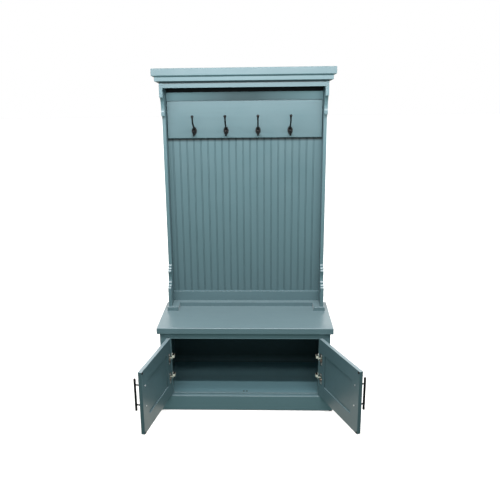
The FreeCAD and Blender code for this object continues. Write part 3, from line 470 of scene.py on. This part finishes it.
def softened(name, others):
    """A copy of a painted node with its free arrises rounded and its seams just broken."""
    source = frame["nodes"][name]
    mesh = bpy.data.meshes.new(name + "_painted")
    bm = bmesh.new()
    bm.from_mesh(source.data)
    bmesh.ops.remove_doubles(bm, verts=bm.verts, dist=WELD)
    bmesh.ops.dissolve_limit(bm, angle_limit=FLAT, verts=bm.verts, edges=bm.edges)
    weight = bm.edges.layers.float.new("bevel_weight_edge")
    bm.normal_update()
    for edge in bm.edges:
        if edge.is_manifold and edge.is_convex and edge.calc_face_angle() > SHARP:
            edge[weight] = SEAM / ARRIS if is_joint(edge, others) else 1.0
    bm.to_mesh(mesh)
    bm.free()
    mesh.materials.append(finish_of(name))
    mesh.materials.append(worn_paint)
    mesh.set_sharp_from_angle(angle=SHARP)
    for polygon in mesh.polygons:
        polygon.use_smooth = True
    piece = bpy.data.objects.new(name + "_painted", mesh)
    bpy.context.scene.collection.objects.link(piece)
    bevel = piece.modifiers.new("arris", "BEVEL")
    bevel.limit_method = "WEIGHT"
    bevel.width = ARRIS
    bevel.segments = ARRIS_SEGMENTS
    bevel.material = mesh.materials.find(worn_paint.name)
    bevel.harden_normals = False
    normals = piece.modifiers.new("normals", "WEIGHTED_NORMAL")
    normals.keep_sharp = True
    return piece


def softened_boards():
    """Each painted board but the beadboard, with its edges as a painter leaves them."""
    trees = contact_trees()
    boards = []
    for body, members in frame["record"]["behaviour"]["bodies"].items():
        for name in members:
            if slot_of[name] == "teal_paint" and name != "beadboard_back":
                others = [tree for other, tree in trees.items() if other != name]
                piece = softened(name, others)
                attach(piece, body)
                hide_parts(name)
                boards.append(piece)
    return boards


def aimed(at, target):
    """A light's place and turn, with its long side level."""
    return Matrix.LocRotScale(at, (target - at).to_track_quat("-Z", "Y"), None)


def area_light(name, at, target, size, power):
    """A flat lamp, aimed at a point."""
    light = bpy.data.lights.new(name, "AREA")
    light.shape = "RECTANGLE"
    light.size, light.size_y = size
    light.energy = power
    light.color = LAMP_TINT
    lamp = bpy.data.objects.new(name, light)
    lamp.matrix_world = aimed(at, target)
    bpy.context.scene.collection.objects.link(lamp)
    return lamp


def stage_floor():
    """A plain pale floor, with a light of its own that keeps it white."""
    mesh = bpy.data.meshes.new("floor")
    half = FLOOR_SIDE / 2
    corners = [(-half, -half, 0), (half, -half, 0), (half, half, 0), (-half, half, 0)]
    mesh.from_pydata(corners, [], [(0, 1, 2, 3)])
    material, _, surface = shader("pale_floor")
    surface.inputs["Base Color"].default_value = (*FLOOR_COLOUR, 1.0)
    surface.inputs["Roughness"].default_value = FLOOR_ROUGHNESS
    mesh.materials.append(material)
    floor = bpy.data.objects.new("floor", mesh)
    lit = bpy.data.collections.new("floor_only")
    bpy.context.scene.collection.children.link(lit)
    lit.objects.link(floor)
    floor.visible_diffuse = False
    floor.visible_glossy = False
    sun = bpy.data.lights.new("floor_sun", "SUN")
    sun.energy = FLOOR_SUN
    sun.angle = FLOOR_SUN_SPREAD
    lamp = bpy.data.objects.new("floor_sun", sun)
    bpy.context.scene.collection.objects.link(lamp)
    lamp.light_linking.receiver_collection = lit


def ceiling(boards):
    """Light from overhead for all boards but the cornice, and its shine, which only rounded edges show."""
    lamp = area_light("overhead", OVERHEAD_AT, OVERHEAD_AIM, OVERHEAD_SIZE, OVERHEAD_POWER)
    shine = area_light("ceiling_shine", SHINE_AT, SHINE_AIM, SHINE_SIZE, SHINE_POWER)
    shine.visible_diffuse = False
    painted = bpy.data.collections.new("painted_only")
    bpy.context.scene.collection.children.link(painted)
    for board in boards:
        if board.name not in UNDER_NO_CEILING:
            painted.objects.link(board)
    lamp.light_linking.receiver_collection = painted
    shine.light_linking.receiver_collection = painted


def room():
    """A dim room in front, a bright wall and pale floor behind, and white where the camera sees past them."""
    world = bpy.data.worlds.new("room")
    world.use_nodes = True
    bpy.context.scene.world = world
    tree = world.node_tree
    background = tree.nodes["Background"]
    place = add(tree, "ShaderNodeTexCoord")
    split = add(tree, "ShaderNodeSeparateXYZ")
    tree.links.new(place.outputs["Generated"], split.inputs["Vector"])
    behind = ranged(tree, split.outputs["Y"], 0.0, 1.0, *BEHIND_Y)
    below = ranged(tree, split.outputs["Z"], 0.0, 1.0, *BELOW_Z)
    path = add(tree, "ShaderNodeLightPath")
    wall = mixed(tree, path.outputs["Is Diffuse Ray"], ROOM_BACK, ROOM_BACK_SOFT)
    around = mixed(tree, behind, ROOM_FRONT, wall)
    low = mixed(tree, behind, ROOM_LOW_FRONT, ROOM_LOW_BACK)
    lit = mixed(tree, below, around, low)
    seen = mixed(tree, path.outputs["Is Camera Ray"], lit, BACKDROP)
    tree.links.new(seen, background.inputs["Color"])


def camera():
    """The photograph's own view."""
    lens = bpy.data.cameras.new("camera")
    lens.sensor_width = SENSOR_WIDTH_MM
    lens.lens = FOCAL_PX / IMAGE_WIDTH_PX * SENSOR_WIDTH_MM
    lens.shift_x = (IMAGE_WIDTH_PX / 2 - CENTRE_PX[0]) / IMAGE_WIDTH_PX
    lens.shift_y = (CENTRE_PX[1] - IMAGE_WIDTH_PX / 2) / IMAGE_WIDTH_PX
    lens.clip_end = CAMERA_REACH
    eye = bpy.data.objects.new("camera", lens)
    turn = Matrix.Rotation(CAMERA_YAW, 4, "Z")
    tilt = Matrix.Rotation(math.pi / 2 - CAMERA_PITCH, 4, "X")
    roll = Matrix.Rotation(CAMERA_ROLL, 4, "Z")
    eye.matrix_world = Matrix.Translation(CAMERA_AT) @ turn @ tilt @ roll
    bpy.context.scene.collection.objects.link(eye)
    bpy.context.scene.camera = eye


dress_nodes()
ceiling(softened_boards())
area_light("tube", TUBE_AT, TUBE_AIM, TUBE_SIZE, TUBE_POWER)
area_light("panel", PANEL_AT, PANEL_AIM, PANEL_SIZE, PANEL_POWER)
stage_floor()
room()
camera()
bpy.context.scene.view_settings.view_transform = "Standard"
